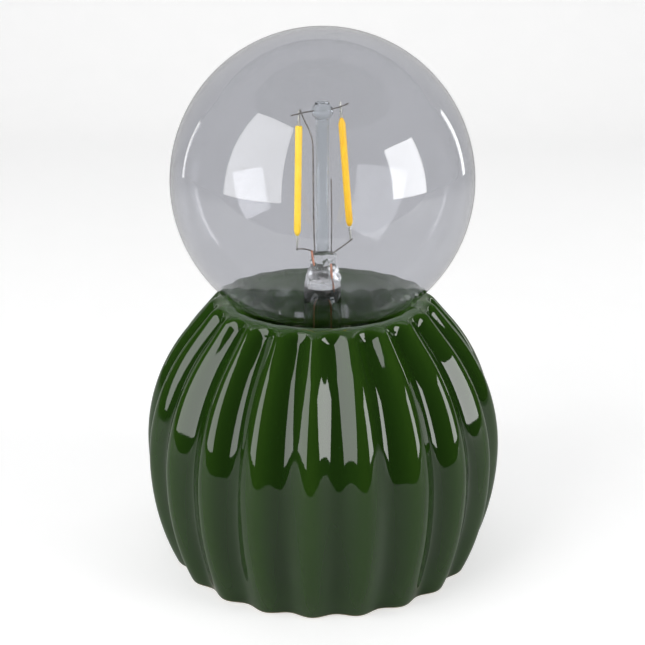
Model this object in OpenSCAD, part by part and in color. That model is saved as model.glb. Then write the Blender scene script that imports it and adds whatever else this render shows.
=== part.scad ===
// Battery table lamp: ribbed glazed ceramic base, screw-in globe bulb with two light filaments.
// Millimetres. Origin at the middle of the foot on the table, +Z up, front towards -Y.

/* [Ceramic base] */
// Largest radius of the body, over the rib crests
body_r = 58.2; // [52:0.2:64]
// Height of that largest radius above the table
belly_z = 38; // [34:1:42]
// How fast the body closes above the belly: half-height of its upper ellipse
upper_h = 61; // [60:0.5:63]
// Half-height of the lower ellipse
lower_h = 73.4; // [70:0.2:80]
// Number of ribs round the body
ribs = 21; // [16:1:24]
// Depth of the grooves between ribs, at the belly
groove_depth = 3.2; // [2:0.2:6]
// Depth of the grooves at the foot
foot_groove = 2.1; // [0.5:0.1:3]
// Depth of the grooves where the lip begins
lip_groove = 2.7; // [0.6:0.1:3]
// Radius of the lip's rounded shoulder
lip_round = 6.5; // [6:0.1:7]

/* [Globe bulb] */
// Globe radius
globe_r = 47.5; // [45:0.5:50]
// Height of the globe's centre above the table
globe_z = 125.9; // [124:0.1:128]
// Thickness of the glass
glass_t = 0.9; // [0.6:0.1:1.2]
// Pitch of the cap's screw thread
thread_pitch = 3.629; // [3.629:0.001:3.629]
// Radial gap between the cap's thread and the holder's thread
thread_gap = 0.35; // [0.3:0.05:0.5]

/* [Battery base] */
// Outer radius of the plastic battery housing
housing_r = 39.4; // [39.2:0.1:39.6]
// Thickness of the housing's wall
housing_wall = 1.8; // [1.4:0.1:2.4]
// Height of the housing's rim above the table
housing_top = 26; // [25.6:0.1:26.4]
// Diameter of one cell
cell_d = 14.2; // [13.8:0.1:14.5]
// Cell spacing from centre to centre
cell_gap = 15; // [14.8:0.1:15.2]

/* [Switch and door] */
// Travel of the switch to each side of its middle position
switch_travel = 2; // [1.5:0.1:2]
// Gap round the battery door
door_gap = 0.3; // [0.25:0.05:0.4]

/* [Hidden] */
$fn = 64;

// ---- shape of the ceramic ----
steps = 6;                       // facets round one rib
sides = ribs * steps;
rib_turn = -3.85;                // a crest stands this many degrees to the left of the front
line_z = 79;                     // above this the outer profile runs straight to the lip
wall = 4;
foot_r = 40.6;                   // round opening in the foot
foot_rim = 6;
hole_r = 17.6;                   // hole in the bottom of the cup
shelf_z = 57;
shelf_r = 21.5;
throat_r = 24.2;                 // below this the cup is nearly straight, above it the lip curves out
throat_z = 78.5;
rim_r = 32;                      // top of the lip
ridge = [35, 76.4, 0, 0];        // where the cup meets the body inside

function ellipse_r(z) =
    body_r * sqrt(1 - pow((z - belly_z) / (z > belly_z ? upper_h : lower_h), 2));
function slope(z) =
    -pow(body_r / (z > belly_z ? upper_h : lower_h), 2) * (z - belly_z) / ellipse_r(z);
line_slope = slope(line_z);
line_tilt = atan(-line_slope);
lip_z = 81.7;
rim = [rim_r, lip_z + lip_round, 0, 0];
lip_r = ellipse_r(line_z) + line_slope * (lip_z + lip_round * sin(line_tilt) - line_z)
    - lip_round * cos(line_tilt);
foot_round = 2.2;
foot_tilt = 24;
foot_arc_r = ellipse_r(foot_round * (1 - sin(foot_tilt))) - foot_round * cos(foot_tilt);

function ease(a, b, t) = a + (b - a) * (1 - cos(180 * min(1, max(0, t)))) / 2;
function groove(z) = z < 60
    ? ease(foot_groove, groove_depth, (z - 1) / 17)
    : ease(groove_depth, lip_groove, (z - 60) / 26);
// Even waves: 0 on a crest, 1 in a groove
function lobe(t) = (1 - cos(360 * t)) / 2;

// Profile stations: [radius, height, direction of the groove's push, groove depth]
inner_w = body_r - groove_depth - wall - 0.2;
function inner_r(z) = inner_w * sqrt(1 - pow((z - belly_z) / (z > belly_z ? 54 : 70), 2));
outer_z = [for (z = [4 : 5 : line_z]) z];
body_profile = concat(
    [[foot_r, 0, 0, 0], [foot_arc_r, 0, 0, foot_groove]],
    [for (a = [-58, -foot_tilt])
        [foot_arc_r + foot_round * cos(a), foot_round * (1 + sin(a)), 0, foot_groove]],
    [for (z = outer_z) [ellipse_r(z), z, max(0, atan(-slope(z))), groove(z)]],
    [for (i = [0 : 5]) let (a = line_tilt + (90 - line_tilt) * i / 5)
        [lip_r + lip_round * cos(a), lip_z + lip_round * sin(a), a, ease(lip_groove, 0.15, i / 4.3)]],
    [rim, ridge],
    [for (z = [74 : -16.5 : 8]) [inner_r(z), z, 0, 0]],
    [[foot_r, foot_rim, 0, 0]]);
cup_profile = concat(
    [rim],
    [for (a = [105 : 15 : 180])
        [rim_r + (rim_r - throat_r) * cos(a), throat_z + (rim[1] - throat_z) * sin(a), 0, 0]],
    [for (a = [30 : 30 : 90])
        [shelf_r + (throat_r - shelf_r) * cos(a), throat_z - (throat_z - shelf_z) * sin(a), 0, 0]],
    [[hole_r, shelf_z, 0, 0], [hole_r, shelf_z - wall, 0, 0]],
    [for (a = [90 : -30 : 30])
        [shelf_r + (throat_r - shelf_r + wall) * cos(a),
            throat_z - (throat_z - shelf_z + wall) * sin(a), 0, 0]],
    [ridge]);

module ring(profile) {
    count = len(profile);
    points = [for (p = profile) for (k = [0 : sides - 1])
        let (push = p[3] * lobe(k / steps), turn = 360 * k / sides - 90 + rib_turn,
            r = p[0] - push * cos(p[2]))
        [r * cos(turn), r * sin(turn), p[1] - push * sin(p[2])]];
    faces = [for (i = [0 : count - 1]) for (k = [0 : sides - 1])
        let (j = (i + 1) % count, n = (k + 1) % sides)
        [i * sides + k, j * sides + k, j * sides + n, i * sides + n]];
    polyhedron(points, faces);
}

module ceramic_body() { color("darkgreen") ring(body_profile); }

// The cup is one piece with the body; it is a solid of its own so that its hollow stays open
module ceramic_cup() { color("darkgreen") ring(cup_profile); }

// ---- plastic battery base ----
floor_z = 1.2;
floor_t = 2;
deck_z = floor_z + floor_t;
cell_z = deck_z + 0.5 + cell_d / 2;
bay_x = 28.6;
bay_y = cell_gap + cell_d / 2 + 0.9;
bay_top = 19.4;
door_x = 27;
door_back = 22.6;
hinge_y = -24;
hinge_z = 2.2;
pin_r = 1;
boss_w = 2;
switch_y = 30.5;
post_x = 17;
post_y = 29.4;
screw_r = 1.2;
pin_gap = 0.05;
cover_t = 2;
cover_hole = 12;

module base_seal() {
    color("whitesmoke") difference() {
        translate([0, 0, floor_z]) cylinder(r = foot_r - 0.1, h = foot_rim - floor_z);
        translate([0, 0, 0]) cylinder(r = housing_r, h = 10);
    }
}

module at_posts() {
    for (x = [-post_x, post_x])
        for (y = [-post_y, post_y]) translate([x, y, 0]) children();
}

module battery_housing() {
    color("dimgray") difference() {
        union() {
            difference() {
                translate([0, 0, floor_z]) cylinder(r = housing_r, h = housing_top - floor_z);
                translate([0, 0, deck_z]) cylinder(r = housing_r - housing_wall, h = 40);
            }
            // walls of the battery bay
            for (x = [-bay_x - 1.2, bay_x])
                translate([x, -20, floor_z]) cube([1.2, 40, bay_top - floor_z]);
            for (y = [-bay_y - 4.2, bay_y])
                translate([-24, y, floor_z]) cube([48, 1.2, bay_top - floor_z]);
            at_posts() translate([0, 0, floor_z]) cylinder(r = 3, h = housing_top - floor_z);
            // ears that hold the door's hinge pins
            for (x = [-door_x - door_gap - boss_w, door_x + door_gap])
                translate([x, hinge_y - 1.6, floor_z]) cube([boss_w, 3.2, 3]);
        }
        // door opening
        translate([-door_x - door_gap, hinge_y - pin_r - door_gap, 0])
            cube([2 * (door_x + door_gap), door_back - hinge_y + pin_r + 2 * door_gap, deck_z]);
        // hinge pin sockets
        translate([-door_x - 1.9, hinge_y, hinge_z]) rotate([0, 90, 0])
            cylinder(r = pin_r + pin_gap, h = 2 * door_x + 3.8);
        // slot of the switch
        translate([-switch_travel - 2.3, switch_y - 1.6, 0])
            cube([2 * switch_travel + 4.6, 3.2, deck_z + 1]);
        at_posts() translate([0, 0, housing_top - 10]) cylinder(r = screw_r + pin_gap, h = 11);
    }
}

module housing_cover() {
    color("dimgray") difference() {
        union() {
            translate([0, 0, housing_top]) cylinder(r = housing_r, h = cover_t);
            for (x = [-9, 9]) translate([x, 0, 21.4]) cylinder(r = 2, h = housing_top - 21.4);
        }
        translate([0, 0, housing_top - 1]) cylinder(r = cover_hole / 2, h = cover_t + 2);
        at_posts() translate([0, 0, housing_top - 1]) cylinder(r = screw_r + 0.2, h = cover_t + 2);
    }
}

module housing_screws() {
    color("silver") at_posts() difference() {
        union() {
            translate([0, 0, housing_top + cover_t]) cylinder(r1 = 2.5, r2 = 1.9, h = 1.6);
            translate([0, 0, housing_top - 8]) cylinder(r = screw_r, h = 10);
        }
        for (a = [0, 90]) translate([0, 0, housing_top + cover_t + 1.3]) rotate([0, 0, a])
            cube([2.6, 0.5, 1], center = true);
    }
}

module battery_door() {
    color("dimgray") difference() {
        union() {
            translate([-door_x, hinge_y, floor_z])
                cube([2 * door_x, door_back - hinge_y, floor_t]);
            // round hinge edge with a pin at each end
            translate([-door_x, hinge_y, hinge_z]) rotate([0, 90, 0])
                cylinder(r = pin_r, h = 2 * door_x);
            translate([-door_x - 1.6, hinge_y, hinge_z]) rotate([0, 90, 0])
                cylinder(r = pin_r, h = 2 * door_x + 3.2);
            // latch tongue with its nose
            translate([-5, door_back - 1.4, deck_z]) cube([10, 1.4, 2.6]);
        }
        // finger groove and grip lines
        translate([-7, door_back - 6, floor_z]) rotate([0, 90, 0]) cylinder(r = 1, h = 14);
        for (i = [0 : 3]) translate([-6, 8 + 2 * i, floor_z]) rotate([0, 90, 0])
            cylinder(r = 0.35, h = 12);
    }
}

module door_pad() {
    color("black") translate([-12, -18, deck_z]) cube([24, 36, 0.4]);
}

// One cell lies along X; way is +1 with its nub towards +X, -1 the other way round
module cell(y, way, body_colour) {
    nub_x = 26.5;
    translate([0, y, cell_z]) rotate([0, way * 90, 0]) {
        color(body_colour) union() {
            translate([0, 0, -24]) cylinder(r = cell_d / 2, h = 49.2);
            translate([0, 0, 25]) cylinder(r = 2.7, h = nub_x - 25);
        }
    }
}
module cell_front() { cell(-cell_gap, 1, "seagreen"); }
module cell_middle() { cell(0, -1, "seagreen"); }
module cell_rear() { cell(cell_gap, 1, "seagreen"); }

// A round wire swept along points: rings of sides at right angles to the path
function unit(v) = v / norm(v);
function tangents(path) = [for (i = [0 : len(path) - 1])
    unit(path[min(i + 1, len(path) - 1)] - path[max(i - 1, 0)])];
module wire(path, r, n = 8, side = [0, 1, 0]) {
    t = tangents(path);
    rings = [for (i = [0 : len(path) - 1])
        let (u = unit(cross(t[i], side)), v = cross(t[i], u))
        for (k = [0 : n - 1]) path[i] + r * (cos(360 * k / n) * u + sin(360 * k / n) * v)];
    count = len(path);
    tube = [for (i = [0 : count - 2]) for (k = [0 : n - 1])
        [i * n + k, (i + 1) * n + k, (i + 1) * n + (k + 1) % n, i * n + (k + 1) % n]];
    ends = [[for (k = [0 : n - 1]) k], [for (k = [n - 1 : -1 : 0]) (count - 1) * n + k]];
    polyhedron(rings, concat(tube, ends));
}

// A straight round wire from p to q
module rod(p, q, r) {
    d = q - p;
    translate(p) rotate([0, acos(d[2] / norm(d)), atan2(d[1], d[0])]) cylinder(r = r, h = norm(d));
}

module spring(y, way) {
    turns = 3;
    path = [for (i = [0 : 12 * turns])
        let (t = i / (12 * turns), r = 4.6 - 2.2 * t)
        [-way * (27.6 - 3.1 * t), y + r * cos(30 * i), cell_z + r * sin(30 * i)]];
    wire(path, 0.35, 6, [1, 0, 0]);
}

module contact_springs() {
    color("silver") {
        spring(-cell_gap, 1);
        spring(0, -1);
        spring(cell_gap, 1);
    }
}

module plate(x, y0, y1) {
    translate([x - 0.2, y0, cell_z - 5]) cube([0.4, y1 - y0, 10]);
}
module plus_dimple(y, way) {
    translate([way * 26.6, y, cell_z]) rotate([0, way * 90, 0]) cylinder(r = 2.4, h = 1.5);
}
module contact_plates() {
    x = 28.2;
    color("silver") {
        plate(-x, -cell_gap - 5, -cell_gap + 5);
        union() {
            plate(-x, -5, cell_gap + 5);
            plus_dimple(0, -1);
        }
        union() {
            plate(x, -cell_gap - 5, 5);
            plus_dimple(-cell_gap, 1);
        }
        union() {
            plate(x, cell_gap - 5, cell_gap + 5);
            plus_dimple(cell_gap, 1);
        }
    }
}

board_z = 20.2;
board_t = 1.2;
module timer_board() {
    color("green") difference() {
        translate([-13, -8, board_z]) cube([26, 16, board_t]);
        for (x = [-3, 3]) translate([x, -5, board_z - 1]) cylinder(r = 0.5, h = 3);
    }
}
module board_parts() {
    top = board_z + board_t;
    color("black") {
        translate([-3, 0.6, top]) cube([5.2, 4, 1.5]);
        translate([5, 4.6, top]) cylinder(r = 2, h = 4);
        translate([-7.4, -6, top]) cube([2, 1.2, 0.6]);
        translate([-7.4, 4, top]) cube([2, 1.2, 0.6]);
        translate([4.6, -6.6, top]) cube([2, 1.2, 0.6]);
        translate([-12, 4.4, top]) cube([1.6, 2.6, 3.2]);
    }
}

module switch_body() {
    color("silver") difference() {
        translate([-6, switch_y - 3, deck_z]) cube([12, 6, 5]);
        translate([-switch_travel - 2.3, switch_y - 1.6, deck_z - 1])
            cube([2 * switch_travel + 4.6, 3.2, 5]);
    }
}

module switch_slider() {
    low = 0.5;
    color("black") difference() {
        translate([-2, switch_y - 1.3, low]) cube([4, 2.6, deck_z + 3.6 - low]);
        for (x = [-1.2, 0, 1.2]) translate([x - 0.2, switch_y - 2, low - 0.1])
            cube([0.4, 4, 0.5]);
    }
}

// ---- leads from the board up to the lampholder ----
lead_r = 0.8;
lead_route = [[3, -5, 21.6], [3, -5, 23], [3, -4, 25], [3, -2.6, 27], [4, -2, 28.4],
    [6, -2, 29.4], [7, -2, 30.4], [7.4, -2, 31.6], [7.4, -2, 32.3]];
module wire_positive() {
    color("red") wire(lead_route, lead_r);
}
module wire_negative() {
    color("black") wire([for (p = lead_route) [-p[0], p[1], p[2]]], lead_r);
}

// ---- lampholder ----
holder_r = 19;
sleeve_r = 17.1;
sleeve_top = 62;
shell_bore = 14.3;
holder_floor = 32.4;
holder_seat = 34.4;
holder_low = 29.6;
thread_low = 41;
thread_top = 57.5;
shell_top = 55;
thread_r = 12.55;                // radius of the eccentric circle whose turning makes the thread
thread_e = 0.55;                 // its eccentricity: half the thread's depth

module lampholder_body() {
    color("black") difference() {
        union() {
            translate([0, 0, holder_floor]) cylinder(r = holder_r, h = shelf_z - wall - 1 - holder_floor);
            translate([0, 0, holder_floor]) cylinder(r = sleeve_r, h = sleeve_top - holder_floor);
        }
        translate([0, 0, holder_seat]) cylinder(r = shell_bore, h = 40);
        translate([0, 0, holder_floor - 1]) cylinder(r = 12, h = 4);
        for (x = [-14.5, 14.5]) translate([x, 0, holder_floor - 1]) cylinder(r = 1.4, h = 8);
    }
}

module lampholder_cap() {
    color("black") difference() {
        translate([0, 0, holder_low]) cylinder(r1 = 17.4, r2 = holder_r, h = holder_floor - holder_low);
        translate([0, 0, holder_low + 1.4]) cylinder(r = 15.8, h = 4);
        for (x = [-6.8, 6.8]) translate([x, -2, holder_low - 1]) cylinder(r = 2.4, h = 4);
    }
}

module lampholder_floor() {
    color("ivory") difference() {
        translate([0, 0, holder_floor]) cylinder(r = 11.9, h = 1.9);
        for (x = [-7.4, 7.4]) translate([x, -2, holder_floor - 1]) cylinder(r = 1, h = 4);
    }
}

// A shell of rings: each is [radius, height, how far its centre is set off the axis].
// The centre goes once round the axis in each pitch, which makes a rounded screw thread.
ring_sides = 28;
module ring_shell(rings) {
    count = len(rings);
    points = [for (q = rings) for (k = [0 : ring_sides - 1])
        let (turn = 360 * (q[1] - thread_low) / thread_pitch, a = 360 * k / ring_sides)
        [q[2] * cos(turn) + q[0] * cos(a), q[2] * sin(turn) + q[0] * sin(a), q[1]]];
    faces = [for (i = [0 : count - 1]) for (k = [0 : ring_sides - 1])
        let (j = (i + 1) % count, n = (k + 1) % ring_sides)
        [i * ring_sides + k, j * ring_sides + k, j * ring_sides + n, i * ring_sides + n]];
    polyhedron(points, faces);
}
function thread_rings(r, z0, z1) =
    let (n = round(8 * (z1 - z0) / thread_pitch))
    [for (i = [0 : n]) [r, z0 + (z1 - z0) * i / n, thread_e]];
function reversed(list) = [for (i = [len(list) - 1 : -1 : 0]) list[i]];

module thread_shell() {
    bore = thread_r + thread_gap;
    color("goldenrod") ring_shell(concat(thread_rings(bore + 0.4, thread_low, shell_top),
        reversed(thread_rings(bore, thread_low, shell_top))));
}

module centre_tongue() {
    color("gold") {
        translate([-3, -2, holder_floor + 1.9]) cube([6, 4, 0.4]);
        translate([0, 0, holder_floor + 2.3]) cylinder(r1 = 2.2, r2 = 1.4, h = 0.6);
    }
}

// Brass strap that joins the thread shell to its terminal
module shell_strap() {
    color("gold") for (a = [60, 240]) rotate([0, 0, a])
        translate([13.9, -1.2, holder_seat + 0.1]) cube([0.3, 2.4, 12]);
}

module terminal_screws() {
    color("silver") for (x = [-14.5, 14.5]) translate([x, 0, holder_floor - 0.6]) difference() {
        union() {
            cylinder(r = 1.3, h = 6);
            cylinder(r = 1.3, h = 0.6);
        }
        translate([0, 0, 0]) cube([3, 0.5, 0.8], center = true);
    }
}

module holder_gasket() {
    color("black") difference() {
        translate([0, 0, shelf_z - wall - 1]) cylinder(r = holder_r, h = 0.9);
        translate([0, 0, shelf_z - wall - 2]) cylinder(r = sleeve_r + 0.1, h = 4);
    }
}

module ring_nut() {
    color("black") difference() {
        translate([0, 0, shelf_z + 0.1]) cylinder(r = 21, h = 4);
        translate([0, 0, shelf_z - 1]) cylinder(r = sleeve_r + 0.1, h = 8);
        for (a = [0 : 30 : 330]) rotate([0, 0, a]) translate([21.6, 0, shelf_z - 1])
            cylinder(r = 1.3, h = 8);
    }
}

// ---- bulb ----
neck_r = 14;
neck_blend = 14;                 // radius of the blend from globe to neck
neck_tip_r = 12;
neck_low = 58.6;
blend_z = globe_z - sqrt(pow(globe_r + neck_blend, 2) - pow(neck_r + neck_blend, 2));
touch = globe_r / (globe_r + neck_blend);
touch_r = (neck_r + neck_blend) * touch;
touch_z = globe_z - (globe_z - blend_z) * touch;

// Half-section of the glass, grown inwards by inset
module glass_profile(inset) {
    intersection() {
        translate([0, 0]) square([60, 200]);
        union() {
            translate([0, globe_z]) circle(r = globe_r - inset, $fn = 96);
            difference() {
                translate([0, blend_z]) square([touch_r, touch_z - blend_z]);
                translate([neck_r + neck_blend, blend_z]) circle(r = neck_blend + inset, $fn = 96);
            }
            polygon([[0, neck_low - inset], [neck_tip_r - inset, neck_low - inset],
                [neck_tip_r - inset, 63], [neck_r - inset, 68], [neck_r - inset, blend_z + 0.01],
                [0, blend_z + 0.01]]);
        }
    }
}

module glass_between(low, high) {
    color("lightgray", 0.3) rotate_extrude($fn = 96) intersection() {
        difference() {
            glass_profile(0);
            glass_profile(glass_t);
        }
        translate([0, low]) square([60, high - low]);
    }
}

// The glass is one piece; its neck is a solid of its own so that the space round it stays open
neck_top = 77;
module bulb_glass() { glass_between(neck_top, 200); }
module bulb_neck() { glass_between(0, neck_top); }

// Flared glass tube that rises from the neck's end to the pinch
flare_top = 92;
module stem_flare() {
    color("lightgray", 0.4) rotate_extrude() polygon([[5, flare_top], [5.9, flare_top], [6.4, 80],
        [7.4, 70], [9.4, 64], [11, 61.5], [11, 60.4], [10.2, 60.4], [8.6, 63.4], [6.6, 69.4],
        [5.6, 80]]);
}

module stem_pinch() {
    color("lightgray", 0.4) hull() {
        translate([0, 0, flare_top + 0.05]) cylinder(r = 5.9, h = 1.2, $fn = 32);
        translate([-3.6, -1.9, 102.6]) cube([7.4, 3.8, 1.2]);
    }
}

rod_r = 2.1;
pinch_top = 103.8;
button_z = 148;
module stem_rod() {
    color("lightgray", 0.4) {
        translate([0, 0, pinch_top + 0.05]) cylinder(r = rod_r, h = button_z - pinch_top);
        translate([0, 0, button_z]) sphere(r = 2.9);
    }
}

// Ends of each light filament
left_top = [-7.3, 0, 143.5];
left_low = [-8, 0, 108.4];
right_top = [5.8, 0, 146.2];
right_low = [8.6, 0, 111.6];
filament_r = 1.1;
module filament_left() { color("gold") rod(left_low, left_top, filament_r); }
module filament_right() { color("orange") rod(right_low, right_top, filament_r); }

function beyond(p, q, d) = q + unit(q - p) * d;
tab_l = 4.6;
module filament_tabs() {
    color("silver") {
        rod(beyond(left_low, left_top, 0.05), beyond(left_low, left_top, tab_l), 0.45);
        rod(beyond(left_top, left_low, 0.05), beyond(left_top, left_low, tab_l), 0.45);
        rod(beyond(right_low, right_top, 0.05), beyond(right_low, right_top, tab_l), 0.45);
        rod(beyond(right_top, right_low, 0.05), beyond(right_top, right_low, tab_l), 0.45);
    }
}

module support_wires() {
    color("silver") {
        rod([-2.6, -0.9, button_z], [-9.6, -0.9, 146.6], 0.3);
        rod([2.6, -0.9, button_z + 0.4], [7.7, -0.9, 150.2], 0.3);
    }
}

module lead_wires() {
    color("silver") {
        wire([[-6.8, -0.9, 148], [-5.6, -1, 145], [-3.6, -1.2, 141.2], [-2.9, -1.4, 137],
            [-2.9, -1.4, 120], [-2.9, -1.4, 106], [-2.4, -1.2, 103.2]], 0.3, 6);
        rod([2.9, -1.4, 103.4], [2.9, -1.4, 127], 0.3);
        rod([-7.6, -0.9, 104.4], [-3.2, -0.9, 103.4], 0.3);
        rod([9.4, -0.9, 108], [3.6, -0.9, 103.6], 0.3);
    }
}

module seal_wires() {
    color("peru") {
        rod([-3.4, -1.2, 104.4], [-2.8, -2.6, 99.6], 0.35);
        rod([2.8, -2.8, 99.8], [3.4, -3.4, 91], 0.35);
        rod([-2.6, -1, 91], [-3, -0.6, 57], 0.3);
        rod([2.6, -1, 91], [3, -0.6, 57], 0.3);
    }
}

module driver_board() {
    color("green") {
        translate([-6, -0.5, 43]) cube([12, 1, 13.4]);
        translate([-4, 0.5, 46]) cube([5, 1.6, 4]);
        translate([3, 3, 44]) cylinder(r = 2.5, h = 8);
    }
}

sheet = 0.4;
module cap_shell() {
    color("silver") ring_shell(concat(
        // closed lower end and thread, outside
        [[10.9, 38.6, 0], [11.9, thread_low - 0.4, 0]],
        thread_rings(thread_r, thread_low, thread_top),
        // plain collar, crimped on the glass
        [[12.9, thread_top + 0.1, 0], [13.2, thread_top + 0.6, 0], [13.2, 62, 0], [12.9, 62.6, 0],
            [12.4, 62.6, 0], [12.4, thread_top + 0.8, 0]],
        // inside
        reversed(thread_rings(thread_r - sheet, thread_low, thread_top)),
        [[11.4, thread_low - 0.3, 0], [10.4, 38.6, 0]]));
}

module cap_cement() {
    color("wheat") rotate_extrude() translate([neck_tip_r + 0.03, 59]) square([0.25, 3.4]);
}

module cap_insulator() {
    color("black") rotate_extrude() polygon([[0, 36.6], [4.9, 36.6], [10.2, 38.6], [10.2, 40.4],
        [0, 40.4]]);
}

module cap_contact() {
    color("silver") rotate_extrude() polygon([[0, 35.4], [2.6, 35.4], [4.2, 35.9], [4.7, 36.55],
        [0, 36.55]]);
}

ceramic_body();
ceramic_cup();
base_seal();
battery_housing();
housing_cover();
housing_screws();
battery_door();
door_pad();
cell_front();
cell_middle();
cell_rear();
contact_springs();
contact_plates();
timer_board();
board_parts();
switch_body();
switch_slider();
wire_positive();
wire_negative();
lampholder_body();
lampholder_cap();
lampholder_floor();
thread_shell();
centre_tongue();
shell_strap();
terminal_screws();
holder_gasket();
ring_nut();
bulb_glass();
bulb_neck();
stem_flare();
stem_pinch();
stem_rod();
filament_left();
filament_right();
filament_tabs();
support_wires();
lead_wires();
seal_wires();
driver_board();
cap_shell();
cap_cement();
cap_insulator();
cap_contact();
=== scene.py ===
import math

import bmesh
import bpy
import numpy as np
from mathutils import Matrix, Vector, noise


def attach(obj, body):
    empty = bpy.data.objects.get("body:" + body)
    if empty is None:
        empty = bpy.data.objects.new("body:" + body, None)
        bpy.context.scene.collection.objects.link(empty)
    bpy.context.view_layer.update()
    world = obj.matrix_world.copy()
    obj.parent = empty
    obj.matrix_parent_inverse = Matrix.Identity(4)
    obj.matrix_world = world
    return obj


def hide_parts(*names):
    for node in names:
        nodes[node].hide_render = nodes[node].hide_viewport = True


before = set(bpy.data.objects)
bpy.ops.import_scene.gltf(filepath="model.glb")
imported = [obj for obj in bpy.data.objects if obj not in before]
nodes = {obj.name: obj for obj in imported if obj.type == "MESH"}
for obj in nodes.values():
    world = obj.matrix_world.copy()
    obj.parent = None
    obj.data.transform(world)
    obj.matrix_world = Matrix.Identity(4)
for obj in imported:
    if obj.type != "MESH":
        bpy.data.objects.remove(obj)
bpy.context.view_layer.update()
MM = 0.001

# ---------------------------------------------------------------- meshes


def link(name, data):
    """A new object in the scene for a mesh, a light or a camera."""
    obj = bpy.data.objects.new(name, data)
    bpy.context.scene.collection.objects.link(obj)
    return obj


def piece(name, points, faces, material, body, slot, *stands_for):
    """A mesh from points in millimetres, riding on a body and standing for its CAD nodes."""
    mesh = bpy.data.meshes.new(name)
    mesh.from_pydata((np.asarray(points, float) * MM).tolist(), [], faces)
    mesh.validate()
    shell = bmesh.new()
    shell.from_mesh(mesh)
    bmesh.ops.recalc_face_normals(shell, faces=shell.faces)
    shell.to_mesh(mesh)
    shell.free()
    mesh.polygons.foreach_set("use_smooth", [True] * len(mesh.polygons))
    mesh.materials.append(material)
    obj = link(name, mesh)
    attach(obj, body)
    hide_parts(*stands_for)
    return obj


def full_turn(sides):
    """Equal steps of angle, once round."""
    return np.arange(sides) * 2 * math.pi / sides


def grid_faces(rows, columns, closed_rows=False):
    """Quads between rows of points; each row is a closed ring."""
    faces = []
    for i in range(rows if closed_rows else rows - 1):
        a, b = i * columns, (i + 1) % rows * columns
        for k in range(columns):
            n = (k + 1) % columns
            faces.append((a + k, a + n, b + n, b + k))
    return faces


def capped_faces(rows, columns):
    """Quads between rows of points, and one face over the ring at each end."""
    faces = grid_faces(rows, columns)
    faces.append(tuple(range(columns))[::-1])
    faces.append(tuple(range((rows - 1) * columns, rows * columns)))
    return faces


def lathe(profile, sides, closed=False):
    """Rings of points about Z from (radius, height) pairs. A radius of 0 makes a pole."""
    turn = full_turn(sides)
    points, faces, rings = [], [], []
    for r, z in profile:
        if r == 0:
            rings.append([len(points)])
            points.append((0, 0, z))
        else:
            rings.append(list(range(len(points), len(points) + sides)))
            points += [(r * math.cos(a), r * math.sin(a), z) for a in turn]
    for a, b in zip(rings, rings[1:] + rings[:1] if closed else rings[1:]):
        for k in range(sides):
            n = (k + 1) % sides
            if len(a) == 1:
                faces.append((a[0], b[n], b[k]))
            elif len(b) == 1:
                faces.append((a[k], a[n], b[0]))
            else:
                faces.append((a[k], a[n], b[n], b[k]))
    return points, faces


DOME = [(math.sin(a), math.cos(a)) for a in (1.45, 1.1, 0.6)]  # rings that round a rod's end


def tube(path, radii, sides=12, round_ends=True):
    """A round rod swept along a path. radii is one number, or one for each point of the path."""
    path = np.asarray(path, float)
    radii = np.full(len(path), radii, float) if np.isscalar(radii) else np.asarray(radii, float)
    if round_ends:
        first, last = path[0] - path[1], path[-1] - path[-2]
        first, last = first / np.linalg.norm(first), last / np.linalg.norm(last)
        head = [path[0] + first * radii[0] * out for out, _ in DOME]
        tail = [path[-1] + last * radii[-1] * out for out, _ in reversed(DOME)]
        path = np.vstack([head, path, tail])
        radii = np.concatenate([[radii[0] * wide for _, wide in DOME], radii,
                                [radii[-1] * wide for _, wide in reversed(DOME)]])
    tangent = np.gradient(path, axis=0)
    tangent /= np.linalg.norm(tangent, axis=1)[:, None]
    side = np.cross(tangent[0], (0, 1, 0))
    if np.linalg.norm(side) < 0.1:
        side = np.cross(tangent[0], (1, 0, 0))
    points = []
    turn = full_turn(sides)
    for p, t, r in zip(path, tangent, radii):
        side = side - t * (side @ t)
        side /= np.linalg.norm(side)
        other = np.cross(t, side)
        points += [tuple(p + r * (math.cos(a) * side + math.sin(a) * other)) for a in turn]
    return points, capped_faces(len(path), sides)


SPAN_STEPS = 8                # points of a curve from one of its given points to the next


def curve_through(*points):
    """A smooth path through points (Catmull-Rom)."""
    p = np.asarray(points, float)
    p = np.vstack([2 * p[0] - p[1], p, 2 * p[-1] - p[-2]])
    out = []
    for i in range(1, len(p) - 2):
        for t in np.arange(SPAN_STEPS) / SPAN_STEPS:
            out.append(0.5 * (2 * p[i] + (p[i + 1] - p[i - 1]) * t
                              + (2 * p[i - 1] - 5 * p[i] + 4 * p[i + 1] - p[i + 2]) * t ** 2
                              + (3 * p[i] - p[i - 1] - 3 * p[i + 1] + p[i + 2]) * t ** 3))
    out.append(p[-2])
    return np.array(out)


def join(parts):
    """Several (points, faces) as one."""
    points, faces = [], []
    for p, f in parts:
        start = len(points)
        points += list(p)
        faces += [tuple(i + start for i in face) for face in f]
    return points, faces


# ---------------------------------------------------------------- materials


def new_material(name):
    material = bpy.data.materials.new(name)
    material.use_nodes = True
    tree = material.node_tree
    shader = tree.nodes["Principled BSDF"]
    place = tree.nodes.new("ShaderNodeTexCoord")
    return material, tree, shader, place


def noise_node(tree, place, scale, detail=4.0, stretch=(1, 1, 1)):
    mapping = tree.nodes.new("ShaderNodeMapping")
    mapping.inputs["Scale"].default_value = stretch
    texture = tree.nodes.new("ShaderNodeTexNoise")
    texture.inputs["Scale"].default_value = scale
    texture.inputs["Detail"].default_value = detail
    tree.links.new(place.outputs["Object"], mapping.inputs["Vector"])
    tree.links.new(mapping.outputs["Vector"], texture.inputs["Vector"])
    return texture.outputs["Fac"]


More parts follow.
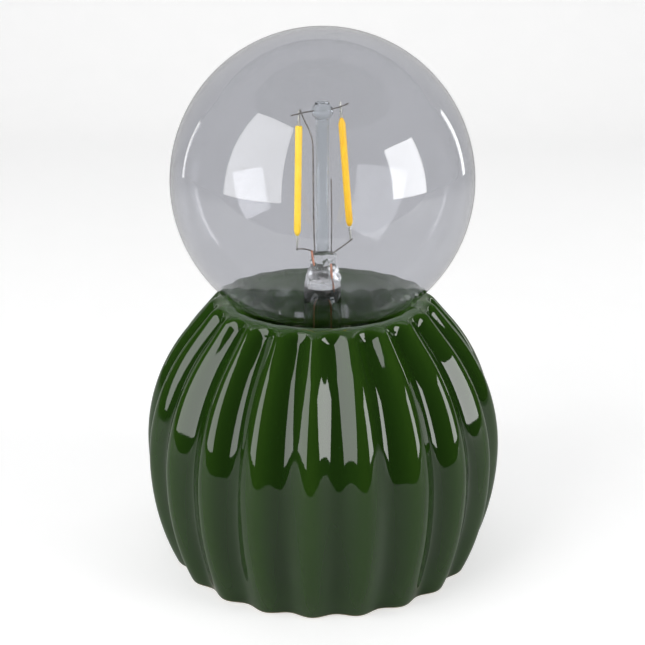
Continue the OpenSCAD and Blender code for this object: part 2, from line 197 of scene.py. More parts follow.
def attribute(tree, name):
    node = tree.nodes.new("ShaderNodeAttribute")
    node.attribute_name = name
    return node.outputs["Fac"]


def ramp(tree, value, stops):
    """A colour ramp: stops are (position, colour)."""
    node = tree.nodes.new("ShaderNodeValToRGB")
    elements = node.color_ramp.elements
    while len(elements) < len(stops):
        elements.new(0.5)
    for element, (position, colour) in zip(elements, stops):
        element.position = position
        element.color = (*colour, 1)
    tree.links.new(value, node.inputs["Fac"])
    return node.outputs["Color"]


def remap(tree, value, low, high, from_low=0.3, from_high=0.7):
    """A value carried from one range to another. A noise stays mostly between 0.3 and 0.7."""
    node = tree.nodes.new("ShaderNodeMapRange")
    node.inputs["From Min"].default_value = from_low
    node.inputs["From Max"].default_value = from_high
    node.inputs["To Min"].default_value = low
    node.inputs["To Max"].default_value = high
    tree.links.new(value, node.inputs["Value"])
    return node.outputs["Result"]


def mix_colour(tree, share, a, b):
    """A blend of two colours, each a tuple or another node's output."""
    node = tree.nodes.new("ShaderNodeMix")
    node.data_type = "RGBA"
    tree.links.new(share, node.inputs[0])
    for socket, value in ((node.inputs[6], a), (node.inputs[7], b)):
        if isinstance(value, tuple):
            socket.default_value = (*value, 1)
        else:
            tree.links.new(value, socket)
    return node.outputs[2]


def bump(tree, shader, height, distance, strength=1.0, after=None):
    node = tree.nodes.new("ShaderNodeBump")
    node.inputs["Distance"].default_value = distance
    node.inputs["Strength"].default_value = strength
    tree.links.new(height, node.inputs["Height"])
    if after is not None:
        tree.links.new(after, node.inputs["Normal"])
    tree.links.new(node.outputs["Normal"], shader.inputs["Normal"])
    return node.outputs["Normal"]


def plain_finish(name, dark, light, scale, rough, bump_depth=0.0, stretch=(1, 1, 1), **sockets):
    """Colour, roughness and bump that follow one noise: moulded plastic, plated metal, paper."""
    material, tree, shader, place = new_material(name)
    grain = noise_node(tree, place, scale, 5.0, stretch)
    tree.links.new(ramp(tree, grain, [(0.3, dark), (0.7, light)]), shader.inputs["Base Color"])
    tree.links.new(remap(tree, grain, *rough), shader.inputs["Roughness"])
    if bump_depth:
        bump(tree, shader, grain, bump_depth)
    for key, value in sockets.items():
        shader.inputs[key.replace("_", " ")].default_value = value
    return material


GLAZE_CREST = (0.0205, 0.055, 0.0050)
GLAZE_MID = (0.0145, 0.043, 0.0038)
GLAZE_POOL = (0.0085, 0.027, 0.0026)
GLAZE_CLOUD = (0.012, 0.037, 0.0036)
GLAZE_SPECK = (0.02, 0.06, 0.02)
CLAY_DARK, CLAY_LIGHT, CLAY_ROUGH = (0.42, 0.33, 0.2), (0.62, 0.52, 0.36), 0.85
GLASS_IOR = 1.5               # the glaze is glass too


def glaze_material():
    """Deep green gloss glaze: yellower over crests, pooled dark in grooves, and a raw foot."""
    material, tree, shader, place = new_material("green_glaze")
    groove_share, raw = attribute(tree, "groove"), attribute(tree, "raw")
    cloud = noise_node(tree, place, 45.0, 4.0, (1, 1, 0.45))
    body = ramp(tree, groove_share, [(0.0, GLAZE_CREST), (0.35, GLAZE_MID), (1.0, GLAZE_POOL)])
    clouded = mix_colour(tree, remap(tree, cloud, 0.0, 0.5), body, GLAZE_CLOUD)
    speck = noise_node(tree, place, 900.0, 2.0)
    specked = mix_colour(tree, remap(tree, speck, 0.0, 0.6, 0.72, 0.78), clouded, GLAZE_SPECK)
    clay = ramp(tree, noise_node(tree, place, 700.0), [(0.3, CLAY_DARK), (0.7, CLAY_LIGHT)])
    tree.links.new(mix_colour(tree, raw, specked, clay), shader.inputs["Base Color"])
    gloss = remap(tree, noise_node(tree, place, 120.0, 3.0), 0.025, 0.06)
    rough = tree.nodes.new("ShaderNodeMix")
    tree.links.new(raw, rough.inputs[0])
    tree.links.new(gloss, rough.inputs[2])
    rough.inputs[3].default_value = CLAY_ROUGH
    tree.links.new(rough.outputs[0], shader.inputs["Roughness"])
    shader.inputs["IOR"].default_value = GLASS_IOR
    pits = noise_node(tree, place, 420.0, 2.0)
    wave = bump(tree, shader, noise_node(tree, place, 60.0, 2.0), 0.00025, 0.5)
    bump(tree, shader, pits, 0.00002, 0.5, after=wave)
    return material


def glass_material(name, tint, rough, ripple, scale):
    """Clear glass with a faint film, rippled where it was worked."""
    material, tree, shader, place = new_material(name)
    film = noise_node(tree, place, scale, 3.0)
    filmed = tuple(0.985 * c for c in tint)
    tree.links.new(ramp(tree, film, [(0.2, filmed), (0.8, tint)]), shader.inputs["Base Color"])
    tree.links.new(remap(tree, film, *rough), shader.inputs["Roughness"])
    shader.inputs["Transmission Weight"].default_value = 1.0
    shader.inputs["IOR"].default_value = GLASS_IOR
    if ripple:
        bump(tree, shader, film, ripple)
    return material


def phosphor_material(name, deep, pale, painted_glow):
    """Yellow silicone of a light filament, a little translucent, given a painted glow; the chips
    show as fine bands.
    """
    material, tree, shader, place = new_material(name)
    mottle = noise_node(tree, place, 260.0, 3.0)
    bands = tree.nodes.new("ShaderNodeTexWave")
    bands.bands_direction = "Z"
    bands.inputs["Scale"].default_value = 190.0
    bands.inputs["Distortion"].default_value = 1.5
    tree.links.new(place.outputs["Object"], bands.inputs["Vector"])
    base = ramp(tree, mottle, [(0.25, deep), (0.75, pale)])
    banded = mix_colour(tree, remap(tree, bands.outputs["Fac"], 0.0, 0.25, 0.0, 1.0), base, deep)
    tree.links.new(banded, shader.inputs["Base Color"])
    tree.links.new(remap(tree, mottle, 0.35, 0.5), shader.inputs["Roughness"])
    shader.inputs["Subsurface Weight"].default_value = 0.3
    shader.inputs["Subsurface Radius"].default_value = (0.0012, 0.0008, 0.0002)
    shader.inputs["Subsurface Scale"].default_value = 1.0
    # painted glow: the phosphor colour is emitted to brighten the filament in place of light
    # falling on it
    tree.links.new(banded, shader.inputs["Emission Color"])
    shader.inputs["Emission Strength"].default_value = painted_glow
    bump(tree, shader, mottle, 0.00004, 0.6)
    return material


def board_material():
    """Green board laminate with fine darker tracks."""
    material, tree, shader, place = new_material("circuit_board")
    bricks = tree.nodes.new("ShaderNodeTexBrick")
    bricks.inputs["Scale"].default_value = 320.0
    bricks.inputs["Color1"].default_value = (0.015, 0.13, 0.035, 1)
    bricks.inputs["Color2"].default_value = (0.02, 0.17, 0.05, 1)
    bricks.inputs["Mortar"].default_value = (0.01, 0.07, 0.02, 1)
    bricks.inputs["Mortar Size"].default_value = 0.06
    tree.links.new(place.outputs["Object"], bricks.inputs["Vector"])
    tree.links.new(bricks.outputs["Color"], shader.inputs["Base Color"])
    tree.links.new(remap(tree, noise_node(tree, place, 500.0), 0.25, 0.4),
                   shader.inputs["Roughness"])
    bump(tree, shader, bricks.outputs["Fac"], 0.00004, 0.4)
    return material


JACKET_END = (0.0138, 0.0142)  # metres along X over which the jacket changes colour


def cell_material():
    """Printed sleeve of a plain cell: a dark body and a copper-coloured end, with no lettering."""
    material, tree, shader, place = new_material("cell_jacket")
    axis = tree.nodes.new("ShaderNodeSeparateXYZ")
    tree.links.new(place.outputs["Object"], axis.inputs["Vector"])
    grain = noise_node(tree, place, 300.0)
    body = ramp(tree, grain, [(0.3, (0.012, 0.09, 0.055)), (0.7, (0.02, 0.13, 0.08))])
    end = ramp(tree, grain, [(0.3, (0.5, 0.27, 0.12)), (0.7, (0.6, 0.35, 0.17))])
    band = remap(tree, axis.outputs["X"], 0.0, 1.0, *JACKET_END)
    tree.links.new(mix_colour(tree, band, body, end), shader.inputs["Base Color"])
    tree.links.new(remap(tree, grain, 0.22, 0.32), shader.inputs["Roughness"])
    return material


glaze = glaze_material()
# painted shade: the globe is clear glass, and its grey tint darkens all seen through it in place
# of the dim backdrop behind
clear_glass = glass_material("clear_glass", (0.685, 0.69, 0.715), (0.0, 0.006), 0.0, 30.0)
stem_glass = glass_material("stem_glass", (0.93, 0.95, 0.955), (0.0, 0.01), 0.0, 60.0)
rod_clear = glass_material("rod_glass", (0.84, 0.885, 0.9), (0.0, 0.01), 0.00006, 90.0)
pinch_glass = glass_material("pinch_glass", (0.95, 0.96, 0.96), (0.0, 0.03), 0.0009, 330.0)
# both filaments are one phosphor; their painted glow differs, stronger on the left filament
filament_a = phosphor_material("phosphor_pale", (0.90, 0.57, 0.02), (0.95, 0.66, 0.05), 0.33)
filament_b = phosphor_material("phosphor_deep", (0.88, 0.50, 0.001), (0.93, 0.58, 0.002), 0.12)
wire_metal = plain_finish("wire_metal", (0.16, 0.15, 0.14), (0.34, 0.32, 0.3), 900.0,
                          (0.25, 0.5), 0.00003, Metallic=1.0)
tab_metal = plain_finish("tab_metal", (0.5, 0.5, 0.46), (0.8, 0.79, 0.72), 700.0,
                         (0.2, 0.4), 0.00002, Metallic=0.9)
copper = plain_finish("copper_wire", (0.42, 0.16, 0.09), (0.62, 0.27, 0.16), 800.0,
                      (0.3, 0.5), 0.00002, Metallic=0.8)
dark_plastic = plain_finish("dark_plastic", (0.030, 0.031, 0.033), (0.045, 0.046, 0.048), 1500.0,
                            (0.42, 0.58), 0.00006)
black_plastic = plain_finish("black_plastic", (0.012, 0.012, 0.012), (0.024, 0.024, 0.024),
                             1300.0, (0.3, 0.45), 0.00004)
nickel = plain_finish("nickel", (0.52, 0.5, 0.46), (0.66, 0.64, 0.6), 260.0,
                      (0.2, 0.38), 0.00002, (1, 1, 6), Metallic=1.0)
cap_metal = plain_finish("cap_metal", (0.6, 0.59, 0.57), (0.74, 0.73, 0.71), 320.0,
                         (0.18, 0.32), 0.00002, (1, 1, 5), Metallic=1.0)
brass = plain_finish("brass", (0.58, 0.4, 0.14), (0.72, 0.52, 0.22), 300.0,
                     (0.24, 0.4), 0.00002, (1, 1, 5), Metallic=1.0)
silicone = plain_finish("silicone", (0.6, 0.6, 0.57), (0.72, 0.72, 0.7), 240.0,
                        (0.4, 0.6), 0.0001)
foam = plain_finish("foam", (0.015, 0.015, 0.015), (0.045, 0.045, 0.045), 2600.0,
                    (0.85, 0.95), 0.0003)
rubber = plain_finish("black_rubber", (0.012, 0.012, 0.012), (0.022, 0.022, 0.022), 900.0,
                      (0.6, 0.75), 0.00005)
steatite = plain_finish("white_ceramic", (0.6, 0.57, 0.5), (0.74, 0.71, 0.64), 500.0,
                        (0.55, 0.7), 0.00006)
cement = plain_finish("cement", (0.4, 0.35, 0.27), (0.58, 0.52, 0.42), 900.0,
                      (0.8, 0.95), 0.0001)
black_glass = plain_finish("black_glass", (0.008, 0.008, 0.01), (0.016, 0.016, 0.02), 200.0,
                           (0.04, 0.1), 0.00004)
red_wire = plain_finish("red_insulation", (0.38, 0.012, 0.008), (0.5, 0.03, 0.02), 500.0,
                        (0.3, 0.42), 0.00003)
black_wire = plain_finish("black_insulation", (0.012, 0.012, 0.012), (0.025, 0.025, 0.025),
                          500.0, (0.3, 0.42), 0.00003)
board = board_material()
cell = cell_material()

# ---------------------------------------------------------------- ceramic base

RIBS = 21
STEPS = 20                    # points round one rib
RIB_TURN = math.radians(-93.85)
BODY_R, BELLY_Z = 58.2, 38.0  # the crests at their widest, and the height of that
UPPER_H, LOWER_H = 61.0, 73.4  # half heights of the outside's two half ellipses
INNER_UPPER_H, INNER_LOWER_H, INNER_SPARE = 54, 70, 0.2
GROOVE, FOOT_GROOVE, LIP_GROOVE, RIM_GROOVE = 3.2, 2.1, 2.7, 0.15
DEEPEN_FROM, DEEPEN_TO, FADE_FROM, FADE_TO = 1, 18, 60, 86  # heights where the depth changes
LIP_ROUND, LIP_Z, LINE_Z = 6.5, 81.7, 79.0  # a straight line runs from LINE_Z to the lip's arc
RIM_R, RIM_TOP, CUP_R, CUP_Z = 32.0, 88.2, 24.2, 78.5
FOOT_R, FOOT_RIM, FOOT_ROUND = 40.6, 6.0, 2.2
FOOT_BEVEL, FOOT_MID = 0.4, 44
FOOT_TILT = math.radians(24)
SHELF_R, SHELF_Z, HOLE_R, WALL = 21.5, 57.0, 17.6, 4.0
HOLE_BEVEL = 0.5
RIDGE_R, RIDGE_Z = 35, 76.4   # where the inside of the body meets the underside of the cup
INSIDE_TOP, INSIDE_LOW = 74, 8
RAW_TOP, RAW_FADE = 0.9, 0.25  # the glaze stops this far above the table
FOOT_STEPS, LIP_STEPS, RIM_STEPS, CUP_STEPS, UNDER_STEPS = 7, 14, 18, 12, 7


def half_ellipse(z, upper_h, lower_h):
    """The share of the widest radius that is left at a height."""
    return math.sqrt(1 - ((z - BELLY_Z) / (upper_h if z > BELLY_Z else lower_h)) ** 2)


def ellipse_r(z):
    return BODY_R * half_ellipse(z, UPPER_H, LOWER_H)


def slope(z):
    return -(BODY_R / (UPPER_H if z > BELLY_Z else LOWER_H)) ** 2 * (z - BELLY_Z) / ellipse_r(z)


def inner_r(z):
    return (BODY_R - GROOVE - WALL - INNER_SPARE) * half_ellipse(z, INNER_UPPER_H, INNER_LOWER_H)


def ease(a, b, t):
    return a + (b - a) * (1 - math.cos(math.pi * min(1, max(0, t)))) / 2


def groove(z):
    """The depth of the grooves at a height."""
    if z < FADE_FROM:
        return ease(FOOT_GROOVE, GROOVE, (z - DEEPEN_FROM) / (DEEPEN_TO - DEEPEN_FROM))
    return ease(GROOVE, LIP_GROOVE, (z - FADE_FROM) / (FADE_TO - FADE_FROM))


def ceramic_profile():
    """From the foot, over the lip and back down inside: radius, height, push angle, depth."""
    tilt = math.atan(-slope(LINE_Z))
    lip_r = ellipse_r(LINE_Z) + slope(LINE_Z) * (LIP_Z + LIP_ROUND * math.sin(tilt) - LINE_Z) \
        - LIP_ROUND * math.cos(tilt)
    arc_r = ellipse_r(FOOT_ROUND * (1 - math.sin(FOOT_TILT))) - FOOT_ROUND * math.cos(FOOT_TILT)
    out = [(FOOT_R, FOOT_BEVEL, 0, 0), (FOOT_R + FOOT_BEVEL, 0, 0, 0),
           (FOOT_MID, 0, 0, 0.5 * FOOT_GROOVE), (arc_r, 0, 0, FOOT_GROOVE)]
    for i in range(1, FOOT_STEPS + 1):
        a = -math.pi / 2 + (math.pi / 2 - FOOT_TILT) * i / FOOT_STEPS
        out.append((arc_r + FOOT_ROUND * math.cos(a), FOOT_ROUND * (1 + math.sin(a)), 0,
                    FOOT_GROOVE))
    for z in np.linspace(FOOT_ROUND, LINE_Z, 64):
        out.append((ellipse_r(z), z, max(0, math.atan(-slope(z))), groove(z)))
    lip_foot = (lip_r + LIP_ROUND * math.cos(tilt), LIP_Z + LIP_ROUND * math.sin(tilt))
    for t in (0.25, 0.5, 0.75):
        r = ellipse_r(LINE_Z) + (lip_foot[0] - ellipse_r(LINE_Z)) * t
        z = LINE_Z + (lip_foot[1] - LINE_Z) * t
        out.append((r, z, tilt, groove(z)))
    for i in range(LIP_STEPS + 1):
        a = tilt + (math.pi / 2 - tilt) * i / LIP_STEPS
        out.append((lip_r + LIP_ROUND * math.cos(a), LIP_Z + LIP_ROUND * math.sin(a), a,
                    ease(LIP_GROOVE, RIM_GROOVE, i / 12)))
    for i in range(RIM_STEPS + 1):
        a = math.pi / 2 * (1 + i / RIM_STEPS)
        out.append((RIM_R + (RIM_R - CUP_R) * math.cos(a),
                    CUP_Z + (RIM_TOP - CUP_Z) * math.sin(a), a, ease(RIM_GROOVE, 0, i / 9)))
    cup, cup_deep = CUP_R - SHELF_R, CUP_Z - SHELF_Z
    for i in range(1, CUP_STEPS + 1):
        a = math.pi / 2 * i / CUP_STEPS
        out.append((SHELF_R + cup * math.cos(a), CUP_Z - cup_deep * math.sin(a), 0, 0))
    out += [(HOLE_R + HOLE_BEVEL, SHELF_Z, 0, 0), (HOLE_R, SHELF_Z - HOLE_BEVEL, 0, 0),
            (HOLE_R, SHELF_Z - WALL, 0, 0)]
    for i in range(UNDER_STEPS + 1):
        a = math.radians(90 - 72 * i / UNDER_STEPS)
        out.append((SHELF_R + (cup + WALL) * math.cos(a),
                    CUP_Z - (cup_deep + WALL) * math.sin(a), 0, 0))
    out.append((RIDGE_R, RIDGE_Z, 0, 0))
    out += [(inner_r(z), z, 0, 0) for z in np.linspace(INSIDE_TOP, INSIDE_LOW, 14)]
    out.append((FOOT_R, FOOT_RIM, 0, 0))
    return out


def rib_lobe(turn):
    """Even waves: 0 on a crest and 1 in a groove."""
    return (1 - np.cos(turn * RIBS)) / 2


def ceramic():
    """The ribbed base, with its groove depth and its unglazed foot stored for the glaze."""
    profile = ceramic_profile()
    sides = RIBS * STEPS
    turn = full_turn(sides)
    lobe = rib_lobe(turn)
    points, groove_share, raw = [], [], []
    for r0, z0, a, depth in profile:
        push = depth * lobe
        r = r0 - push * math.cos(a)
        z = np.full(sides, z0) - push * math.sin(a)
        points.append(np.stack([r * np.cos(turn + RIB_TURN), r * np.sin(turn + RIB_TURN), z], 1))
        groove_share.append(push / GROOVE)
        raw.append(np.clip((RAW_TOP - z) / RAW_FADE, 0, 1))
    faces = grid_faces(len(profile), sides, closed_rows=True)
    obj = piece("ceramic_base", np.concatenate(points), faces, glaze, "root", "green_glaze",
                "ceramic_body", "ceramic_cup")
    for name, values in (("groove", groove_share), ("raw", raw)):
        layer = obj.data.attributes.new(name, "FLOAT", "POINT")
        layer.data.foreach_set("value", np.concatenate(values).astype(np.float32))


ceramic()

# ---------------------------------------------------------------- bulb

GLOBE_R, GLOBE_Z, GLASS_T, GLOBE_SIDES = 47.5, 125.9, 0.9, 160
NECK_R, NECK_BLEND, NECK_TIP_R, NECK_END, NECK_LOW = 14.0, 14.0, 12.0, 63, 58.6


def globe_profile(inset):
    """Radius and height from the top of the globe down to the neck's end."""
    r = GLOBE_R - inset
    blend = NECK_BLEND + inset
    blend_z = GLOBE_Z - math.sqrt((GLOBE_R + NECK_BLEND) ** 2 - (NECK_R + NECK_BLEND) ** 2)
    leave = math.atan2(NECK_R + NECK_BLEND, GLOBE_Z - blend_z)
    out = [(r * math.sin(a), GLOBE_Z + r * math.cos(a))
           for a in np.linspace(0, math.pi - leave, 72)]
    for a in np.linspace(math.pi / 2 - leave, 0, 14)[1:]:
        out.append((NECK_R + NECK_BLEND - blend * math.cos(a), blend_z + blend * math.sin(a)))
    for t in np.linspace(0, 1, 8)[1:]:
        out.append((ease(NECK_R, NECK_TIP_R, t) - inset, blend_z - (blend_z - NECK_END) * t))
    out.append((NECK_TIP_R - inset, NECK_LOW - inset * 0.2))
    return out


def globe_shell():
    """The glass, outside and inside, joined by a ring of faces at the neck's end."""
    sides = GLOBE_SIDES
    outside, inside = globe_profile(0), globe_profile(GLASS_T)
    points, faces = join([lathe(outside, sides), lathe(inside[::-1], sides)])
    inner = 1 + (len(outside) - 1) * sides
    outer = inner - sides
    for k in range(sides):
        n = (k + 1) % sides
        faces.append((outer + k, outer + n, inner + n, inner + k))
    return points, faces


globe = piece("globe", *globe_shell(), clear_glass, "bulb", "clear_glass",
              "bulb_glass", "bulb_neck")
globe.visible_shadow = False  # light reaches the cup through the glass

FLARE_TOP = 92.0
flare = [(5.0, FLARE_TOP), (5.9, FLARE_TOP), (6.1, 86), (6.4, 80), (6.8, 74), (7.4, 70),
         (8.2, 66.6), (9.4, 64), (10.6, 62.2), (11, 61.5), (11, 60.4), (10.2, 60.4), (9.6, 61.6),
         (8.6, 63.4), (7.5, 66.2), (6.6, 69.8), (6.0, 74), (5.6, 80), (5.25, 86)]
piece("stem_tube", *lathe(flare, 64, closed=True), stem_glass, "bulb", "clear_glass", "stem_flare")

PINCH_TOP, PINCH_GAP, PINCH_LEAN = 103.4, 0.1, 0.4
PINCH_ROWS, PINCH_SIDES, PINCH_CLOSE = 34, 72, 0.9


def pinch():
    """The stem's pressed seal: a round tube squeezed flat, with the folds that the tongs leave."""
    points = []
    for i in range(PINCH_ROWS):
        t = i / (PINCH_ROWS - 1)
        z = FLARE_TOP + PINCH_GAP + (PINCH_TOP - FLARE_TOP) * t
        wide = ease(6.0, 4.1, t * 1.1)
        deep = ease(5.8, 2.1, t * 1.5)
        if t > PINCH_CLOSE:
            close = math.sqrt(max(0.0, 1 - ((t - PINCH_CLOSE) / 0.1) ** 2))
            wide, deep = wide * (0.3 + 0.7 * close), deep * (0.3 + 0.7 * close)
        for k in range(PINCH_SIDES):
            a = 2 * math.pi * k / PINCH_SIDES
            x, y = PINCH_LEAN * t + wide * math.cos(a), deep * math.sin(a)
            fold = noise.noise(Vector((x * 0.55, y * 0.55, z * 0.5))) * 0.9
            crease = abs(noise.noise(Vector((x * 1.1 + 7, y * 1.1, z * 0.9 + 3)))) * -1.1
            grow = (fold + crease) * math.sin(math.pi * min(1, t * 1.15 + 0.05)) ** 0.6
            points.append((x + grow * math.cos(a), y + grow * math.sin(a), z))
    return points, capped_faces(PINCH_ROWS, PINCH_SIDES)


piece("stem_seal", *pinch(), pinch_glass, "bulb", "clear_glass", "stem_pinch")

BUTTON_Z, GRIP_Z, ROD_R = 148.0, 147.6, 2.1
rod_profile = [(0, 103.9), (1.7, 103.9), (ROD_R, 104.4)] \
    + [(ROD_R, z) for z in range(107, 144, 4)] \
    + [(2.05, 145.2), (2.3, 145.9), (3.0, 146.5), (3.3, 147.4), (3.3, 148.4), (3.05, 149.2),
       (2.6, 149.7), (2.3, 150.4), (ROD_R, 150.75), (1.6, 150.8), (1.2, 150.2), (0, 149.8)]


def rod_glass():
    """A drawn glass rod, a little uneven, with a pressed button that grips the support wires."""
    points, faces = lathe(rod_profile[::-1], 48)
    out = []
    for x, y, z in points:
        grip = max(0.0, 1 - abs(z - GRIP_Z) / 3)
        dent = 1 + grip * 0.10 * noise.noise(Vector((x * 0.9, y * 0.9, z * 0.8 + 5)))
        uneven = 1 + 0.035 * noise.noise(Vector((x * 0.3, y * 0.3, z * 0.06)))
        out.append((x * dent * uneven, y * dent * uneven, z))
    return out, faces


piece("stem_rod_glass", *rod_glass(), rod_clear, "bulb", "clear_glass", "stem_rod")


def filament(name, low, top, material, node, low_end, top_end):
    """A sleeved stick. Each end is (how far it is drawn in, over what share of the length)."""
    low, top = Vector(low), Vector(top)
    shares = [0.004, 0.004 + low_end[1] / 2, 0.004 + low_end[1], 0.2, 0.4, 0.6, 0.8,
              0.996 - top_end[1], 0.996 - top_end[1] / 2, 0.996]
    radii = [1.11 - low_end[0], 1.11 - low_end[0] * 0.35, 1.12, 1.1, 1.09, 1.09, 1.1,
             1.12, 1.11 - top_end[0] * 0.35, 1.11 - top_end[0]]
    stick = tube([low.lerp(top, t) for t in shares], radii, 28, round_ends=False)
    piece(name, *stick, material, "bulb", "phosphor", node)


LEFT_TOP, LEFT_LOW = (-7.3, 0, 143.5), (-8, 0, 108.4)
RIGHT_TOP, RIGHT_LOW = (5.8, 0, 146.2), (8.6, 0, 111.6)
filament("filament_l", LEFT_LOW, LEFT_TOP, filament_a, "filament_left", (0.6, 0.05), (0.1, 0.012))
filament("filament_r", RIGHT_LOW, RIGHT_TOP, filament_b, "filament_right", (0.5, 0.05),
         (0.8, 0.06))


def tab(near, end):
    """The metal tab that carries on past a filament's end."""
    near, end = Vector(near), Vector(end)
    along = (end - near).normalized()
    a, b = end + along * 0.1, end + along * 4.5
    return tube([a, a.lerp(b, 0.5), b], [0.5, 0.42, 0.3], 10)


tabs = [tab(LEFT_LOW, LEFT_TOP), tab(LEFT_TOP, LEFT_LOW),
        tab(RIGHT_LOW, RIGHT_TOP), tab(RIGHT_TOP, RIGHT_LOW)]
piece("filament_ends", *join(tabs), tab_metal, "bulb", "nickel", "filament_tabs")


def wire(radius, sides, *points):
    return tube(curve_through(*points), radius, sides)


props = [
    wire(0.22, 8, (-2.4, -0.9, BUTTON_Z + 0.2), (-5.5, -0.9, 147.7), (-9.6, -0.9, 146.7)),
    wire(0.22, 8, (2.4, -0.9, BUTTON_Z + 0.6), (5, -0.9, 149.3), (7.8, -0.9, 150.4))]
piece("button_wires", *join(props), wire_metal, "bulb", "nickel", "support_wires")

leads = [
    wire(0.24, 8, (-6.9, -0.6, 148.4), (-5.6, -1, 145.4), (-4, -1.2, 142), (-3, -1.4, 138),
         (-2.9, -1.4, 128), (-2.8, -1.4, 116), (-2.6, -1.4, 107), (-2.4, -1.2, 103.4)),
    wire(0.2, 8, (2.7, -1.4, 127), (2.9, -1.4, 115), (2.8, -1.4, 103.6)),
    wire(0.26, 8, (-8.3, -0.6, 104.3), (-5.6, -0.9, 104.4), (-2.8, -1.1, 103.6)),
    wire(0.26, 8, (9.4, -0.7, 107.6), (7, -1, 105.8), (3.6, -1.2, 103.4))]
piece("lead_wires_bent", *join(leads), wire_metal, "bulb", "nickel", "lead_wires")

seals = [
    wire(0.34, 10, (-3.4, -1.8, 103.9), (-3.1, -2.4, 101.8), (-2.7, -2.8, 99.6)),
    wire(0.34, 10, (2.7, -2.9, 99.8), (3, -3.2, 95), (3.4, -3.5, 91)),
    wire(0.3, 8, (-2.6, -1, 91), (-2.9, -0.8, 74), (-3, -0.6, 57)),
    wire(0.3, 8, (2.6, -1, 91), (2.9, -0.8, 74), (3, -0.6, 57))]
piece("sealed_leads", *join(seals), copper, "bulb", "copper_wire", "seal_wires")

# ---------------------------------------------------------------- carried-over CAD nodes

finishes = {
    "base_seal": silicone, "battery_housing": dark_plastic, "housing_cover": dark_plastic,
    "housing_screws": nickel, "battery_door": dark_plastic, "door_pad": foam,
    "cell_front": cell, "cell_middle": cell, "cell_rear": cell,
    "contact_springs": nickel, "contact_plates": nickel,
    "timer_board": board, "board_parts": black_plastic,
    "switch_body": nickel, "switch_slider": black_plastic,
    "wire_positive": red_wire, "wire_negative": black_wire,
    "lampholder_body": black_plastic, "lampholder_cap": black_plastic,
    "lampholder_floor": steatite, "thread_shell": brass, "centre_tongue": brass,
    "shell_strap": brass, "terminal_screws": nickel, "holder_gasket": rubber,
    "ring_nut": black_plastic, "driver_board": board, "cap_shell": cap_metal,
    "cap_cement": cement, "cap_insulator": black_glass, "cap_contact": nickel}
for name, material in finishes.items():
    mesh = nodes[name].data
    mesh.materials.clear()
    mesh.materials.append(material)

# ---------------------------------------------------------------- studio

FLOOR_FRONT, BACK_Y, SWEEP_R, BACK_TOP = -0.26, 0.75, 0.3, 1.1
FLOOR_HALF, FLOOR_COLUMNS = 1.6, 9
PAPER_GLOW = 0.52
WHITE, ROOM = (1.0, 1.0, 1.0), (0.03, 0.03, 0.03)


def seen_directly(tree):
    """1 for what the camera sees, straight or through the glass, and 0 for reflected light."""
    path = tree.nodes.new("ShaderNodeLightPath")
    either = tree.nodes.new("ShaderNodeMath")
    either.operation = "MAXIMUM"
    tree.links.new(path.outputs["Is Camera Ray"], either.inputs[0])
    tree.links.new(path.outputs["Is Transmission Ray"], either.inputs[1])
    return either.outputs[0]


paper = plain_finish("paper", (0.61, 0.61, 0.61), (0.63, 0.63, 0.63), 40.0, (0.7, 0.8))
tree = paper.node_tree
shader = tree.nodes["Principled BSDF"]
shader.inputs["Emission Color"].default_value = (*WHITE, 1)
tree.links.new(remap(tree, seen_directly(tree), 0.0, PAPER_GLOW, 0.0, 1.0),
               shader.inputs["Emission Strength"])

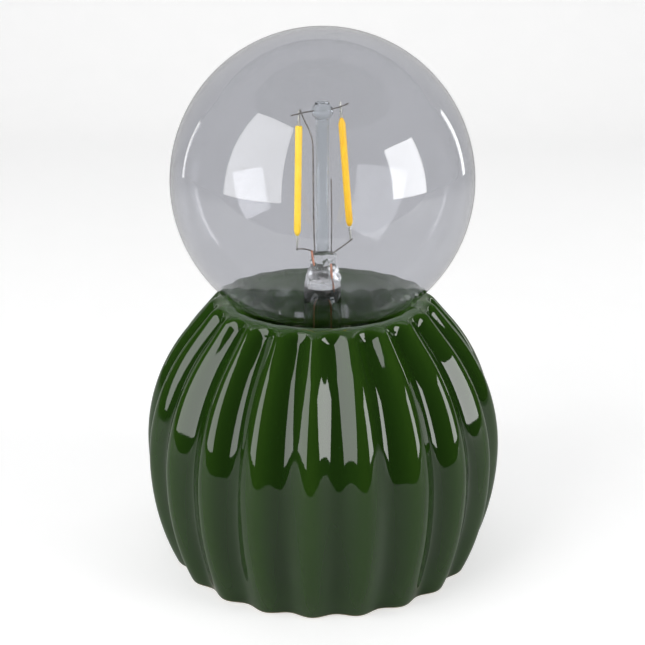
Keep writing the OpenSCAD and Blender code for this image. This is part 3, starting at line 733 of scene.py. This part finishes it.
sweep = [(y, 0.0) for y in np.linspace(FLOOR_FRONT, BACK_Y, 12)]
sweep += [(BACK_Y + SWEEP_R * math.sin(a), SWEEP_R - SWEEP_R * math.cos(a))
          for a in np.linspace(0.1, math.pi / 2, 14)]
sweep += [(BACK_Y + SWEEP_R, z) for z in (0.5, 0.8, BACK_TOP)]
points = [(x, y, z) for y, z in sweep for x in np.linspace(-FLOOR_HALF, FLOOR_HALF, FLOOR_COLUMNS)]
faces = []
for row in range(len(sweep) - 1):
    for k in range(FLOOR_COLUMNS - 1):
        a, b = row * FLOOR_COLUMNS + k, (row + 1) * FLOOR_COLUMNS + k
        faces.append((a, a + 1, b + 1, b))
floor = bpy.data.meshes.new("floor")
floor.from_pydata(points, [], faces)
floor.polygons.foreach_set("use_smooth", [True] * len(floor.polygons))
floor.materials.append(paper)
link("floor", floor)


def area_light(name, width, height, radiance):
    """A light that camera rays pass, as bright as radiance over its whole area."""
    light = bpy.data.lights.new(name, "AREA")
    light.shape = "RECTANGLE"
    light.size, light.size_y = width, height
    light.energy = radiance * math.pi * width * height
    obj = link(name, light)
    obj.visible_camera = False
    return obj


def panel(name, azimuth, distance, low, high, width, radiance):
    """A soft light panel standing round the object. Azimuth 0 is in front, + to the right."""
    obj = area_light(name, width, high - low, radiance)
    a = math.radians(azimuth)
    obj.location = (distance * math.sin(a), -distance * math.cos(a), (low + high) / 2)
    target = Vector((0, 0, (low + high) / 2))
    obj.rotation_mode = "QUATERNION"
    obj.rotation_quaternion = (target - obj.location).to_track_quat("-Z", "Y")


panel("left_panel", -51.5, 0.78, 0.070, 1.056, 0.65, 4.0)
panel("right_panel", 65, 0.90, 0.068, 0.625, 0.46, 7.0)
panel("rear_strip_right", 126, 0.70, 0.065, 0.38, 0.05, 4.0)
panel("rear_strip_left", -122, 0.70, 0.065, 0.34, 0.03, 3.0)

overhead = area_light("overhead", 2.0, 2.0, 0.9)
overhead.location = (0, 0.2, 1.5)
overhead.visible_glossy = False
overhead.visible_transmission = False

world = bpy.data.worlds.new("studio")
bpy.context.scene.world = world
world.use_nodes = True
tree = world.node_tree
tree.links.new(mix_colour(tree, seen_directly(tree), ROOM, WHITE),
               tree.nodes["Background"].inputs["Color"])

# ---------------------------------------------------------------- camera

CAMERA_D, CAMERA_TILT, TARGET_Z, LENS = 0.408, math.radians(18.52), 0.0795, 70.2
camera = link("camera", bpy.data.cameras.new("camera"))
camera.data.lens = LENS
camera.data.sensor_width = 36
camera.data.clip_start = 0.01
camera.location = (0, -CAMERA_D * math.cos(CAMERA_TILT),
                   TARGET_Z + CAMERA_D * math.sin(CAMERA_TILT))
camera.rotation_euler = (math.pi / 2 - CAMERA_TILT, 0, 0)
bpy.context.scene.camera = camera
bpy.context.scene.view_settings.view_transform = "Standard"
